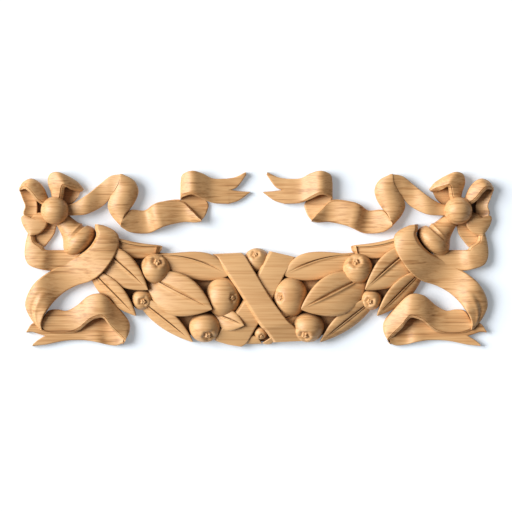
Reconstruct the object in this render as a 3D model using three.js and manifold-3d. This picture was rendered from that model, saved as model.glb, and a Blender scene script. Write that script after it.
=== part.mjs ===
// A festoon swag ornament, carved in one piece from a light hardwood board.
// A thick swag of long leaves and round fruits hangs between two bows. Each bow has a ball knot,
// a bell-shaped husk below it, a ribbon that wraps round the end of the swag and trails down,
// and a shorter ribbon that flutters in to a fishtail near the middle. Two flat bands cross over
// the middle of the swag. The back is one flat plane, which is glued or pinned to a panel.
//
// Units are millimetres, +Z is up and +X is to the viewer's right. The flat back lies in Y = 0 and
// the carved face looks along -Y. The origin is on the back, on the middle line of the ornament.
import * as THREE from "three";
import { mergeVertices } from "three/addons/utils/BufferGeometryUtils.js";
import Module from "manifold-3d";

const wasm = await Module();
wasm.setup();

// Driving sizes of the whole carving.
const LENGTH = 476; // from the outer curl of one bow to that of the other
const DEPTH = 24; // from the flat back to the top of a ball knot
const BEHIND = 4; // each form runs on this far behind, where the plane of the back cuts it off

// Sizes of single forms.
const BALL_RADIUS = 14;
const RIBBON_CROWN = 1.5; // how far a ribbon's middle stands above a straight line across it
const BAND_CROWN = 0.6;
const LEAF_RIB = 0.045; // half the width of a leaf's midrib, as a share of the half leaf
const LEAF_GROOVE = 1.1; // depth of the groove beside the midrib
const LEAF_DROP = 3.2; // how far a leaf's edge lies below its rib
const LEAF_BLUNT = 0.6; // cut off at each end of a leaf, so that it isn't a point
const HUSK_FLAT = 0.9; // the husk is carved flatter than it is round
const HUSK_HIGH = 3; // its axis above the back
const CALYX_RADIUS = 3.2;
const CALYX_DEEP = 1.6;

// How finely the forms are faceted.
const RIBBON_STEPS = 2; // facets between two places along a ribbon
const RIBBON_COLUMNS = 3;
const CROWNED_COLUMNS = 4; // where the crown changes along the ribbon
const LEAF_ROWS = 7;
const FRUIT_SIDES = 14;
const FRUIT_RINGS = 3;
const HUSK_COLUMNS = 8;
const SLIVER = 0.16; // facets thinner than this, left where two forms meet, are merged away

// The carving is drawn on a sheet 476 units long and 24 units deep. A place on the drawing is
// out from the middle line, up from the origin, and high above the back. Both halves of the
// ornament are carved from the same drawing, with side -1 on the left and +1 on the right.
const UNIT = LENGTH / 476;
const RISE = DEPTH / 24;
const place = (side, out, up, high) => new THREE.Vector3(side * out * UNIT, -high * RISE, up * UNIT);

// A three.js shape becomes a solid of this carving: its shared vertices are merged, and each one is
// then moved to its place. The mirrored half comes out with its faces turned in, and they are
// turned back.
function solid(shape, move) {
  shape.deleteAttribute("normal");
  shape.deleteAttribute("uv");
  const merged = mergeVertices(shape, 1e-5);
  const at = merged.attributes.position;
  const index = new Uint32Array(merged.index.array);
  for (let i = 0; i < at.count; i += 1) {
    const to = move(new THREE.Vector3().fromBufferAttribute(at, i));
    at.setXYZ(i, to.x, to.y, to.z);
  }
  const make = () =>
    new wasm.Manifold(new wasm.Mesh({ numProp: 3, vertProperties: new Float32Array(at.array), triVerts: index }));
  const made = make();
  if (made.volume() > 0) return made;
  for (let i = 0; i < index.length; i += 3) {
    const second = index[i + 1];
    index[i + 1] = index[i + 2];
    index[i + 2] = second;
  }
  return make();
}

// One carved form with upright sides: face(s, t) is the carved surface, with s along the form and
// t across it, and the form runs straight back from there past the plane of the back.
function slab(rows, columns, face) {
  return solid(new THREE.BoxGeometry(1, 1, 1, rows, 1, columns), (corner) => {
    const point = face(corner.x + 0.5, corner.z + 0.5);
    if (corner.y > 0) point.y = BEHIND;
    return point;
  });
}

// Ribbons. Each row holds a place on one edge and the place across from it on the other edge:
// [out, up, high, out, up, high].
const LOOP_OUTER = [
  [204, 57, 7, 210, 51, 9],
  [208.5, 62, 9, 214.5, 55, 11.5],
  [212.5, 71, 12, 220.5, 60, 14.5],
  [218.5, 78.5, 13.5, 226.5, 68, 17],
  [225.5, 81.7, 13, 230.5, 71.5, 16.5],
  [233.5, 78.5, 10.5, 234.5, 71, 12.5],
  [238, 72, 8, 237.3, 68.5, 9],
];
const LOOP_OUTER_INSIDE = [
  [238, 73, 8, 224, 71, 6],
  [237, 68, 8.7, 221.5, 64, 3.5],
  [234.5, 61, 9.2, 218.5, 58, 2],
  [232, 54, 9.2, 215.5, 52, 1.5],
  [233.8, 46.5, 8.8, 215, 46, 2.5],
  [229, 38, 7.5, 214, 40, 6],
];
const LOOP_INNER = [
  [204.5, 56, 9, 197, 56, 11],
  [206, 67, 9.5, 194.7, 65, 13.5],
  [209, 77, 10, 195, 71, 15.8],
  [207.3, 85.7, 11, 193.7, 75, 17],
  [199, 88.3, 14, 190.5, 74.5, 16.5],
  [188.5, 84, 11.5, 186.5, 71.8, 13.5],
  [179, 78, 7.5, 181, 69.8, 9.5],
  [173.3, 71, 4.5, 175, 68.5, 6],
];
const LOOP_INNER_INSIDE = [
  [198, 75, 2, 198, 50, 2],
  [190.5, 76, 2, 190.5, 53, 2],
  [182.5, 73, 2, 184, 57.5, 2],
  [176, 70, 2.5, 179.5, 62.5, 3],
];
const LOOP_LOWER = [
  [212, 48, 7, 203, 42, 8],
  [221, 47, 7, 206, 39.7, 8.5],
  [227, 42, 8.3, 209, 37.5, 9],
  [231, 44.5, 7.5, 210.5, 34, 9.5],
  [234.7, 42.5, 7, 212, 31.5, 9.5],
  [234, 36.5, 6.5, 214.5, 28.8, 9.3],
  [230.5, 30, 6.5, 219, 25.5, 8.5],
  [226.5, 24.7, 7, 225.5, 24, 7.5],
];
const LOOP_UNDER = [
  [208.5, 45, 5, 198, 40, 6],
  [216, 34.5, 5, 201, 33, 6],
  [221.5, 26.5, 5.3, 203.5, 25, 6],
  [226, 21.5, 6, 212.5, 13, 6],
];
const TAIL_RISE = [
  [196.5, 54, 8, 196.5, 44, 9],
  [183.5, 57, 8.5, 183.5, 44.7, 9],
  [170.5, 65, 11, 170.5, 46, 11],
  [157.5, 75.6, 7.8, 156, 53, 7.8],
  [146.5, 84, 9.5, 147, 61.8, 8.6],
  [135.5, 86, 13.5, 138.5, 76.5, 12],
];
const TAIL_FALL = [
  [136.5, 86.3, 13.5, 134, 86, 13.5],
  [137.5, 78, 14.5, 123, 80, 10.5],
  [141.2, 71, 12, 118.5, 70.5, 8.5],
  [146.8, 62.5, 9.3, 120.5, 61, 8.5],
  [149.1, 53.5, 8, 126, 52, 10.3],
  [145, 44, 8, 131.5, 45, 12.8],
  [135.5, 33.3, 9.5, 134.5, 36, 12.5],
];
const TAIL_WAVE = [
  [135.5, 39, 13, 136, 33.2, 12.5],
  [127, 50, 8.8, 126, 27.7, 8.8],
  [116, 49, 4.8, 112.5, 26.7, 5],
  [108.5, 52.5, 10, 101.5, 30, 10.5],
  [98, 58.2, 10.8, 91, 34, 10.3],
  [76.5, 60.5, 6.5, 73, 38, 6.5],
  [66, 52.3, 9, 62, 37.5, 9],
  [56, 41.5, 12.5, 55, 38.5, 12],
];
const TAIL_TURN = [
  [74, 63, 5, 57, 65.5, 3.5],
  [72, 56, 6, 48.5, 57, 3],
  [66, 49.5, 7.5, 49, 50.5, 3.5],
  [60.5, 43, 9.5, 51.5, 44.3, 6],
  [57, 40.2, 12, 55.6, 39.2, 11.5],
];
const TAIL_END = [
  [76.3, 77, 8, 76.3, 60.5, 8.5],
  [74.3, 85.5, 10.5, 73.5, 63.2, 11.5],
  [64.5, 89.4, 15, 64.5, 65.4, 16],
  [54, 86.8, 11.5, 54, 61, 12.5],
  [43.5, 81.8, 7.5, 43, 57.1, 8.2],
  [28, 81.6, 6, 27.5, 56.3, 6.3],
];
const TAIL_TIP_UPPER = [
  [30.5, 81.5, 5.9, 29.5, 69, 6],
  [21, 83.3, 6, 19.5, 73, 5.6],
  [11, 88.2, 7, 10, 85.5, 6],
];
const TAIL_TIP_LOWER = [
  [29.5, 71, 6, 29.5, 56.1, 6.1],
  [18, 69.2, 5.2, 18, 59.5, 5],
  [6.7, 68.4, 4.2, 6.9, 67.4, 4],
];
const WRAP_BEHIND = [
  [227.3, 25, 6, 225, 23.3, 7],
  [231, 15.5, 7, 220.5, 18.8, 10],
  [232.2, 4, 7.5, 214.5, 14, 11.5],
  [228, -5, 9, 212.5, 11, 11],
  [216.5, -9.3, 11, 209.5, 10, 9.5],
  [205, -10.8, 6.8, 201, 10, 6],
  [192, -8, 6.3, 190, 10, 6],
  [178.5, -4, 8, 176.5, 10, 8],
];
const WRAP = [
  [161.5, 36, 14.5, 153.5, 34.9, 13.5],
  [161.5, 31, 17, 144.5, 30.7, 15],
  [160, 26, 18.5, 138.7, 25, 16],
  [162, 20, 19.5, 137.5, 16.5, 17],
  [167.5, 12.5, 18.3, 140, 8, 19],
  [176, 6, 13.6, 146, -2.5, 20.5],
  [185, 1.5, 8.8, 155, -13.5, 19],
  [194, -4, 6.6, 166, -21, 13],
  [204, -9.5, 8, 180, -25.5, 7.8],
  [214, -16, 12.5, 193, -32.5, 8],
  [223, -24, 12.5, 203, -41.5, 10],
  [230, -36, 9.5, 209.5, -50, 14.3],
  [231.7, -47, 7.5, 213.5, -57, 13.8],
  [226, -59.5, 8, 215.6, -64.5, 12.5],
  [217, -70, 9, 214.5, -70, 10],
];
const TRAIL = [
  [215, -60, 7.5, 217.5, -70.5, 8],
  [209, -51, 6.3, 208.5, -74.5, 7],
  [200, -49.5, 6, 198.5, -76, 6.5],
  [190.5, -50.8, 6.5, 188.5, -75, 7],
  [180, -45.5, 8.5, 178, -71, 9.5],
  [168.5, -36, 14.2, 168, -62.5, 14.8],
  [158, -33.5, 16.8, 160, -58.5, 17.3],
  [150, -36.5, 15.5, 153, -58.5, 17.3],
  [140, -46.5, 10.3, 146, -67.8, 13.8],
  [130.5, -57.5, 7, 138.5, -75.5, 10.5],
  [127, -65.5, 6, 134, -80.5, 9.3],
  [128.5, -75, 6, 132.5, -83, 9],
  [134, -82.5, 6.5, 134, -84.5, 8.5],
];
const TRAIL_RETURN = [
  [132.7, -76, 8.5, 134.1, -83.6, 8.5],
  [140, -70, 6, 140.5, -85.8, 6.5],
  [150, -60, 3.5, 150, -84.9, 5.5],
  [160, -57, 3, 160, -82.4, 8],
  [174, -65, 4.5, 174, -80.4, 5.8],
  [192, -71, 6, 191.5, -81, 5.5],
  [210.5, -70, 6, 211, -84.9, 6],
];
const TRAIL_TIP_UPPER = [
  [208, -70, 6, 209.5, -77, 6],
  [218, -63, 6.5, 217.5, -74.5, 6],
  [225.5, -64, 6.5, 225, -72.2, 6],
  [231, -72, 6, 230.5, -72.8, 6],
];
const TRAIL_TIP_LOWER = [
  [208.5, -74, 6, 210.5, -84.9, 6],
  [218.5, -79.7, 6, 219.5, -85.8, 6],
  [224, -84, 6, 225, -86.5, 6],
];
const LEAF_CURL = [
  [99.5, 14, 13, 101.5, 5, 11.5],
  [97, 13.6, 11.5, 99, 5.5, 9.5],
  [94.8, 12, 7, 97.5, 7, 6],
];
const TAIL_FALL_CROWN = [0, 1.5, 4.5, 5.5, 4.5, 2, 0.5];
const WRAP_CROWN = [1, 2, 2.5, 3, 2.5, 1.5, 0.5, 0, 0, 0, 3.5, 2, 0.5, 0.5, 0];
const UNDER_LEAF = [
  [11, -81, 7, 11, -84.5, 5],
  [4.5, -75.5, 9, 4.5, -84.4, 6],
  [-1.5, -77.5, 9, -1.5, -84.3, 6],
  [-5, -83, 7, -5, -84.3, 5],
];
const FOLDED_LEAF = [
  [5.5, -83.5, 7, 10, -84.6, 6],
  [10, -80.3, 10, 14.5, -84.2, 7],
  [15.5, -77, 12, 18.5, -80.5, 9],
];
const RIBBONS = [
  [LOOP_OUTER, RIBBON_CROWN],
  [LOOP_OUTER_INSIDE, 0],
  [LOOP_INNER, RIBBON_CROWN],
  [LOOP_INNER_INSIDE, 0],
  [LOOP_LOWER, RIBBON_CROWN],
  [LOOP_UNDER, 0],
  [TAIL_RISE, RIBBON_CROWN],
  [TAIL_FALL, TAIL_FALL_CROWN],
  [TAIL_WAVE, RIBBON_CROWN],
  [TAIL_TURN, 0],
  [TAIL_END, 0],
  [TAIL_TIP_UPPER, 0],
  [TAIL_TIP_LOWER, 0],
  [WRAP_BEHIND, RIBBON_CROWN],
  [WRAP, WRAP_CROWN],
  [TRAIL, RIBBON_CROWN],
  [TRAIL_RETURN, 0],
  [TRAIL_TIP_UPPER, 0],
  [TRAIL_TIP_LOWER, 0],
  [LEAF_CURL, 0],
];

// Both edges run as smooth curves through their places, and the face is drawn from one to the other.
// The crown, one for all or one a row, is how far its middle stands above a straight line across it.
function ribbon(side, rows, crown) {
  const edge = (first) =>
    new THREE.CatmullRomCurve3(
      rows.map((row) => place(side, ...row.slice(first, first + 3))),
      false,
      "catmullrom",
      0.5,
    );
  const near = edge(0);
  const far = edge(3);
  const last = rows.length - 1;
  const crowns = rows.map((row, k) => (Array.isArray(crown) ? crown[k] : crown));
  const columns = Array.isArray(crown) ? CROWNED_COLUMNS : RIBBON_COLUMNS;
  return slab(last * RIBBON_STEPS, columns, (s, t) => {
    const row = Math.min(Math.floor(s * last), last - 1);
    const swell = THREE.MathUtils.lerp(crowns[row], crowns[row + 1], s * last - row);
    const point = near.getPoint(s).lerp(far.getPoint(s), t);
    point.y -= RISE * swell * 4 * t * (1 - t);
    return point;
  });
}

// Leaves. A leaf runs from its base to its tip and sags on the way. On each side of its midrib it is
// given how wide it is at its widest and where along the leaf that is. It is high at the base, the
// middle and the tip, and it leans by how far its upper edge is raised and its lower edge sunk.
const LEAVES = [
  {
    base: [150.5, 23], tip: [94.5, 13], sag: 3.5, lean: 0,
    above: [3.6, 0.42], below: [13, 0.5], high: [14, 13, 10], full: 0.35,
  },
  {
    base: [163.5, 17], tip: [108.5, -29.8], sag: -1.5, lean: 2.5,
    above: [13.3, 0.48], below: [20.3, 0.49], high: [10, 17.5, 17.5], full: 0.85,
  },
  {
    base: [168.5, -8], tip: [120.7, -56], sag: 0.5, lean: 5,
    above: [11.2, 0.48], below: [9.8, 0.46], high: [10, 14, 12], full: 0.85,
  },
  {
    base: [111.5, -15], tip: [44.3, -49.3], sag: 1, lean: 1.5,
    above: [19, 0.48], below: [23.5, 0.46], high: [9, 20.5, 21.5], full: 0.85,
  },
  {
    base: [123.5, -35], tip: [63.7, -82.3], sag: 0, lean: 4,
    above: [10.8, 0.5], below: [8.6, 0.48], high: [10, 12.5, 10.5], full: 0.85,
  },
  {
    base: [102.5, 6], tip: [28, -15], sag: -5.5, lean: 0,
    above: [10, 0.72], below: [19.5, 0.48], high: [12, 14.5, 14.5], full: 0.7,
  },
  {
    base: [43, -53], tip: [12.5, -65.3], sag: 0, lean: 1,
    above: [9.5, 0.48], below: [12, 0.5], high: [15, 17.5, 18.5], full: 0.85,
  },
];

// Across a leaf, t runs from the edge above the rib to the edge below it. Each column is a place
// across, from 1 to -1, and how far it lies below the rib.
const LEAF_ACROSS = [
  [1, LEAF_DROP],
  [0.76, LEAF_DROP * 0.12],
  [LEAF_RIB * 3, LEAF_GROOVE],
  [LEAF_RIB, 0],
  [-LEAF_RIB, 0],
  [-LEAF_RIB * 5, LEAF_GROOVE * 0.5],
  [-0.76, LEAF_DROP * 0.25],
  [-1, LEAF_DROP],
];

function leaf(side, { base, tip, sag, lean, above, below, high, full }) {
  const along = new THREE.Vector2(tip[0] - base[0], tip[1] - base[1]);
  const across = new THREE.Vector2(along.y, -along.x).normalize();
  const blunt = LEAF_BLUNT / along.length();
  const ridge = new THREE.QuadraticBezierCurve(
    new THREE.Vector2(0, high[0]),
    new THREE.Vector2(0.5, 2 * high[1] - (high[0] + high[2]) / 2),
    new THREE.Vector2(1, high[2]),
  );
  return slab(LEAF_ROWS, LEAF_ACROSS.length - 1, (row, column) => {
    const s = blunt + (1 - 2 * blunt) * row;
    const [t, drop] = LEAF_ACROSS[Math.round(column * (LEAF_ACROSS.length - 1))];
    const [widest, peak] = t > 0 ? above : below;
    const spread = Math.sin(Math.PI * s ** (Math.log(0.5) / Math.log(peak))) ** full;
    const wide = t * spread * widest;
    const out = base[0] + along.x * s + across.x * wide;
    const up = base[1] + along.y * s + across.y * wide - sag * Math.sin(Math.PI * s);
    return place(side, out, up, ridge.getPoint(s).y + lean * t * spread - drop * Math.sqrt(spread));
  });
}

// Fruits. Each is a dome on an upright foot, with a dimple and a nub where the flower sat. A ball
// knot is the same dome with no dimple.
const FRUITS = [
  { at: [101.3, -8.8], wide: 15.3, tall: 15.3, foot: 9.3, rise: 14.5, calyx: [-2, 8.6] },
  { at: [114.7, -39.6], wide: 11, tall: 10.6, foot: 6.5, rise: 11, calyx: [-1.8, -2.4] },
  { at: [33, -37], wide: 17.3, tall: 20.5, foot: 8, rise: 15.8, calyx: [-9.8, 0.3] },
  { at: [51.7, -67.2], wide: 16.2, tall: 15.3, foot: 6.5, rise: 15.5, calyx: [-4.2, -9.5] },
];
const BALL = { at: [202, 49.5], wide: BALL_RADIUS, tall: BALL_RADIUS, foot: 10, rise: BALL_RADIUS };
const TOP_FRUIT = { at: [0.2, -1.3], wide: 13.3, tall: 13.3, foot: 2, rise: 12.5, calyx: [0.4, 8] };
const LOW_FRUIT = { at: [4.3, -72.6], wide: 7, tall: 7, foot: 6, rise: 7.5, calyx: [0.9, -4.4] };

function dome(side, { at, wide, tall, foot, rise }) {
  const profile = [new THREE.Vector2(0, -1), new THREE.Vector2(1, -1)];
  for (let ring = 0; ring < FRUIT_RINGS; ring += 1) {
    const turn = (ring / FRUIT_RINGS) * (Math.PI / 2);
    profile.push(new THREE.Vector2(Math.cos(turn), Math.sin(turn)));
  }
  profile.push(new THREE.Vector2(0, 1));
  return solid(new THREE.LatheGeometry(profile, FRUIT_SIDES), (corner) => {
    const high = foot + Math.max(corner.y, 0) * rise;
    const point = place(side, at[0] + corner.x * wide, at[1] + corner.z * tall, high);
    if (corner.y < 0) point.y = BEHIND;
    return point;
  });
}

function fruit(side, shape) {
  const { at, wide, tall, foot, rise, calyx } = shape;
  const share = Math.sqrt(1 - (calyx[0] / wide) ** 2 - (calyx[1] / tall) ** 2);
  const centre = place(side, at[0] + calyx[0], at[1] + calyx[1], foot + share * rise);
  const dimple = solid(new THREE.IcosahedronGeometry(CALYX_RADIUS, 1), (corner) => {
    corner.y += CALYX_DEEP - CALYX_RADIUS;
    return corner.add(centre);
  });
  const nub = solid(new THREE.ConeGeometry(CALYX_RADIUS * 0.5, CALYX_DEEP * 2, 5), (corner) => {
    corner.y = CALYX_DEEP * 0.5 - corner.y;
    return corner.add(centre);
  });
  return dome(side, shape).subtract(dimple).add(nub);
}

// The husk is a bell lying on its side, below the ball knot. Each row is how far along it lies
// from the ball and how wide it is there; the ball's end is a neck and the other end is a bulb.
const HUSK_FROM = [199.6, 46.1];
const HUSK_TO = [170.3, 10.7];
const HUSK = [
  [0, 7.5],
  [12, 8.7],
  [19.5, 10.6],
  [23.5, 12.2],
  [25.5, 12.6],
  [27.7, 13.8],
  [28.5, 16.2],
  [31.5, 17.9],
  [34, 18.7],
  [37, 18.6],
  [40, 17],
  [42.5, 14.3],
  [44.5, 10.6],
  [45.9, 5.5],
  [46.4, 1],
];

function husk(side) {
  const along = new THREE.Vector2(HUSK_TO[0] - HUSK_FROM[0], HUSK_TO[1] - HUSK_FROM[1]).normalize();
  const last = HUSK.length - 1;
  return slab(last, HUSK_COLUMNS, (s, t) => {
    const [far, radius] = HUSK[Math.round(s * last)];
    const turn = Math.PI * t;
    const wide = radius * Math.cos(turn);
    const out = HUSK_FROM[0] + along.x * far - along.y * wide;
    const up = HUSK_FROM[1] + along.y * far + along.x * wide;
    return place(side, out, up, HUSK_HIGH + radius * HUSK_FLAT * Math.sin(turn));
  });
}

// The ground of the swag, which shows between the leaves and the fruits. Each row is a place on
// its upper outline and the place below it on its lower outline.
const GROUND_HIGH = 3.5;
const GROUND_CROWN = 3;
const GROUND = [
  [152.5, 22, GROUND_HIGH, 167, -7, GROUND_HIGH],
  [136.5, 18.5, GROUND_HIGH, 155, -27, GROUND_HIGH],
  [121.5, 13, GROUND_HIGH, 136, -39, GROUND_HIGH],
  [108, 11, GROUND_HIGH, 116.5, -45, GROUND_HIGH],
  [96.5, 7.5, GROUND_HIGH, 103, -56, GROUND_HIGH],
  [73.5, 6, GROUND_HIGH, 80, -71, GROUND_HIGH],
  [46.5, 0.5, GROUND_HIGH, 52, -78, GROUND_HIGH],
  [20, -1, GROUND_HIGH, 21.5, -81, GROUND_HIGH],
  [-1, 0, GROUND_HIGH, -1, -82, GROUND_HIGH],
];

// The two flat bands, as they lie on the right of the middle line and across it.
const BAND_OVER = [
  [-44.2, 6, 9, -15.2, 7.4, 9],
  [-40.5, 2, 13, -11, 3.5, 13],
  [-33.5, -8.5, 17, -4.5, -7, 17],
  [-15, -36.5, 20.5, 13.5, -37, 20.5],
  [2, -63.5, 20, 30.5, -60, 20],
  [9.5, -72, 17, 38.5, -67.5, 17],
  [16.5, -82.5, 10, 46.5, -81, 10],
];
const BAND_UNDER = [
  [13, 9, 9, 38.5, 3, 9],
  [8.8, 2, 13, 35, -4, 13],
  [1, -13, 15.5, 28, -15, 15.5],
  [-14.5, -42, 17, 13, -44, 17],
  [-26, -57.5, 16, 5, -58.5, 16],
  [-38, -71, 13, -2.5, -71, 13],
  [-42, -80, 9, -9, -82.5, 9],
  [-30, -84.6, 8, -15, -87, 8],
];

const forms = [
  ribbon(1, BAND_OVER, BAND_CROWN),
  ribbon(1, BAND_UNDER, BAND_CROWN),
  ribbon(-1, UNDER_LEAF, 0),
  ribbon(1, FOLDED_LEAF, 0),
  fruit(1, TOP_FRUIT),
  fruit(1, LOW_FRUIT),
];
for (const side of [-1, 1]) {
  forms.push(ribbon(side, GROUND, GROUND_CROWN), husk(side));
  forms.push(dome(side, BALL));
  for (const [rows, crown] of RIBBONS) forms.push(ribbon(side, rows, crown));
  for (const shape of LEAVES) forms.push(leaf(side, shape));
  for (const shape of FRUITS) forms.push(fruit(side, shape));
}

// The forms are carved out of one board, and its back is planed flat.
const waste = solid(new THREE.BoxGeometry(LENGTH * 1.2, BEHIND * 2, LENGTH), (corner) => {
  corner.y += BEHIND;
  return corner;
});
const joined = forms.reduce((whole, form) => whole.add(form)).subtract(waste);
const carved = joined.asOriginal().simplify(SLIVER);

const mesh = carved.getMesh();
const geometry = new THREE.BufferGeometry();
geometry.setAttribute("position", new THREE.BufferAttribute(mesh.vertProperties, 3));
geometry.setIndex(new THREE.BufferAttribute(mesh.triVerts, 1));
geometry.computeVertexNormals();

const wood = new THREE.MeshStandardMaterial({ color: 0xe0b27c, roughness: 0.55, metalness: 0 });
const festoon = new THREE.Mesh(geometry, wood);
festoon.name = "festoon";

const ornament = new THREE.Group();
ornament.add(festoon);

export default ornament;
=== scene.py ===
"""A carved wood festoon: a swag of leaves and fruits hung between two ribbon bows.

The whole ornament is one piece of pale hardwood. Its forms are carved here one after another,
joined into one solid, planed flat behind and finished in the same bare wood. Lengths are in
millimetres on the drawing and become metres in the mesh.
"""
import math

import bpy
import numpy as np
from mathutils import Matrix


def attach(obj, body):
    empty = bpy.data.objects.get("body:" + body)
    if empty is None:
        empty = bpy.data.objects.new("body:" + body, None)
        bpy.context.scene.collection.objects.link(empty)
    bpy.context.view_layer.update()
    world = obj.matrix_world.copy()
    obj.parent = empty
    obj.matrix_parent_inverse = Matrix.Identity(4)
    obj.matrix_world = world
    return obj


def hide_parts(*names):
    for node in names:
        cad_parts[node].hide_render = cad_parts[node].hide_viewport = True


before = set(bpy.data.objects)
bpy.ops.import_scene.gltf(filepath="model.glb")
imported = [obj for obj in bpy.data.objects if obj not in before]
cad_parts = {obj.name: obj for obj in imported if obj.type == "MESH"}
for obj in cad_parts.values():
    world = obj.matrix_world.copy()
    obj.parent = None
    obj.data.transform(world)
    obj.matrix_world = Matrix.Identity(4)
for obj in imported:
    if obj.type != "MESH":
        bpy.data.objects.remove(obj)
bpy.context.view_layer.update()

# The ground of the swag
# The board is carved down to a low rounded ground, which shows as dark hollows between the leaves
# and the fruits, in real shade and in shade painted into the wood. A place on the drawing is out from
# the middle line, up, and high above the back, and a row of a ribbon gives a place on its near edge
# and then one on its far edge.
MM = 0.001
BEHIND = 4  # each form runs on this far behind, where the plane of the back cuts it off
GROUND_HIGH = 3.5
GROUND_CROWN = 3
GROUND = [
    [152.5, 22, GROUND_HIGH, 167, -7, GROUND_HIGH],
    [136.5, 18.5, GROUND_HIGH, 155, -27, GROUND_HIGH],
    [121.5, 13, GROUND_HIGH, 136, -39, GROUND_HIGH],
    [108, 11, GROUND_HIGH, 116.5, -45, GROUND_HIGH],
    [96.5, 7.5, GROUND_HIGH, 103, -56, GROUND_HIGH],
    [73.5, 6, GROUND_HIGH, 80, -71, GROUND_HIGH],
    [46.5, 0.5, GROUND_HIGH, 52, -78, GROUND_HIGH],
    [20, -1, GROUND_HIGH, 21.5, -81, GROUND_HIGH],
    [-1, 0, GROUND_HIGH, -1, -82, GROUND_HIGH],
]
STEP = 1.7  # length of one facet along a ribbon
INNER = 6  # facets across a ribbon between its two worn edges
FOLD_AT = 0.46  # where a lengthwise fold runs, as a share of the ribbon's width
FOLD_WIDE = 0.12
WEAR_MOST = 0.38  # the most of a ribbon's width that the wear of one edge takes up

# How an edge is worn: how wide the wear is, one for all or one a row, then places in from the edge
# with the depth there, both as shares of that width.
SOFT = (1.3, [(0, 1), (0.1, 0.56), (0.32, 0.27), (0.62, 0.08), (1, 0), (1.2, 0)])
forms = []


def deselect():
    """Leave nothing selected."""
    bpy.ops.object.select_all(action="DESELECT")


def keep(name):
    """Name the form that was just made and put it with the others."""
    form = bpy.context.object
    form.name = name
    forms.append(form)
    return form


def drawn(side, out, up, high):
    """Places on the drawing as an array of points in metres."""
    return np.stack([side * out, -high, up], axis=-1) * MM


def slab(name, rows, columns, face):
    """A form with upright sides: face(s, t) gives the carved surface, drawn back past the back."""
    deselect()
    bpy.ops.mesh.primitive_grid_add(x_subdivisions=rows, y_subdivisions=columns, size=2)
    form = keep(name)
    points = np.empty(len(form.data.vertices) * 3)
    form.data.vertices.foreach_get("co", points)
    s, t = (points.reshape(-1, 3)[:, :2].T + 1) / 2
    form.data.vertices.foreach_set("co", face(s, t).ravel())
    form.data.update()
    bpy.ops.object.mode_set(mode="EDIT")
    bpy.ops.mesh.select_all(action="SELECT")
    bpy.ops.mesh.extrude_region_move(TRANSFORM_OT_translate={"value": (0, BEHIND * MM, 0)})
    bpy.ops.transform.resize(value=(1, 0, 1), center_override=(0, BEHIND * MM, 0))
    bpy.ops.mesh.select_all(action="SELECT")
    bpy.ops.mesh.normals_make_consistent(inside=False)
    bpy.ops.object.mode_set(mode="OBJECT")
    return form


def spline(places, s):
    """The smooth curve through the places, at shares s of its run."""
    p = np.array(places, float)
    p = np.vstack([2 * p[0] - p[1], p, 2 * p[-1] - p[-2]])
    spans = len(places) - 1
    k = np.clip(np.floor(s * spans).astype(int), 0, spans - 1)
    f = (s * spans - k)[:, None]
    a, b, c, d = p[k], p[k + 1], p[k + 2], p[k + 3]
    cubic = (3 * b - a - 3 * c + d) * f**3 + (2 * a - 5 * b + 4 * c - d) * f**2
    return (cubic + (c - a) * f + 2 * b) / 2


def ribbon(name, side, rows, crown=1.5, near=SOFT, far=SOFT, fold=0, inner=INNER):
    """A ribbon between two smooth edges. Its crown, one for all or one a row, is how far its
    middle stands above a straight line across it, and its fold is about how far it rises on one
    side of a lengthwise crease and sinks on the other."""
    rows = np.array(rows, float)
    crowns = np.broadcast_to(crown, len(rows))[:, None]
    folds = np.broadcast_to(fold, len(rows))[:, None]
    near_wear = np.broadcast_to(near[0], len(rows))[:, None]
    far_wear = np.broadcast_to(far[0], len(rows))[:, None]
    middle = (rows[:, :2] + rows[:, 3:5]) / 2
    length = np.linalg.norm(np.diff(middle, axis=0), axis=1).sum()
    steps = max(len(rows) - 1, int(length / STEP))
    columns = len(near[1]) + len(far[1]) + inner - 1

    def face(s, t):
        a = spline(rows[:, :3], s)
        b = spline(rows[:, 3:], s)
        wide = np.linalg.norm(a[:, :2] - b[:, :2], axis=1)
        column = np.rint(t * columns).astype(int)
        across = np.zeros_like(t)
        drop = np.zeros_like(t)
        near_wide = np.minimum(spline(near_wear, s)[:, 0], wide * WEAR_MOST)
        far_wide = np.minimum(spline(far_wear, s)[:, 0], wide * WEAR_MOST)
        for worn, worn_wide, is_far in ((near[1], near_wide, False), (far[1], far_wide, True)):
            for k, (share, down) in enumerate(worn):
                here = column == (columns - k if is_far else k)
                inward = (share * worn_wide / wide)[here]
                across[here] = 1 - inward if is_far else inward
                drop[here] = (down * worn_wide)[here]
        first = near[1][-1][0] * near_wide / wide
        last = 1 - far[1][-1][0] * far_wide / wide
        mid = (column - len(near[1]) + 1) / (inner + 1)
        between = (column >= len(near[1])) & (column <= columns - len(far[1]))
        across = np.where(between, first + (last - first) * mid, across)
        point = a + (b - a) * across[:, None]
        beside = (across - FOLD_AT) / FOLD_WIDE
        swell = spline(crowns, s)[:, 0] * 4 * across * (1 - across)
        swell = swell + spline(folds, s)[:, 0] * 2 * beside * np.exp(-(beside**2))
        return drawn(side, point[:, 0], point[:, 1], point[:, 2] + swell - drop)

    return slab(name, steps, columns, face)


for side in (-1, 1):
    ribbon("ground", side, GROUND, crown=GROUND_CROWN)

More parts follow.
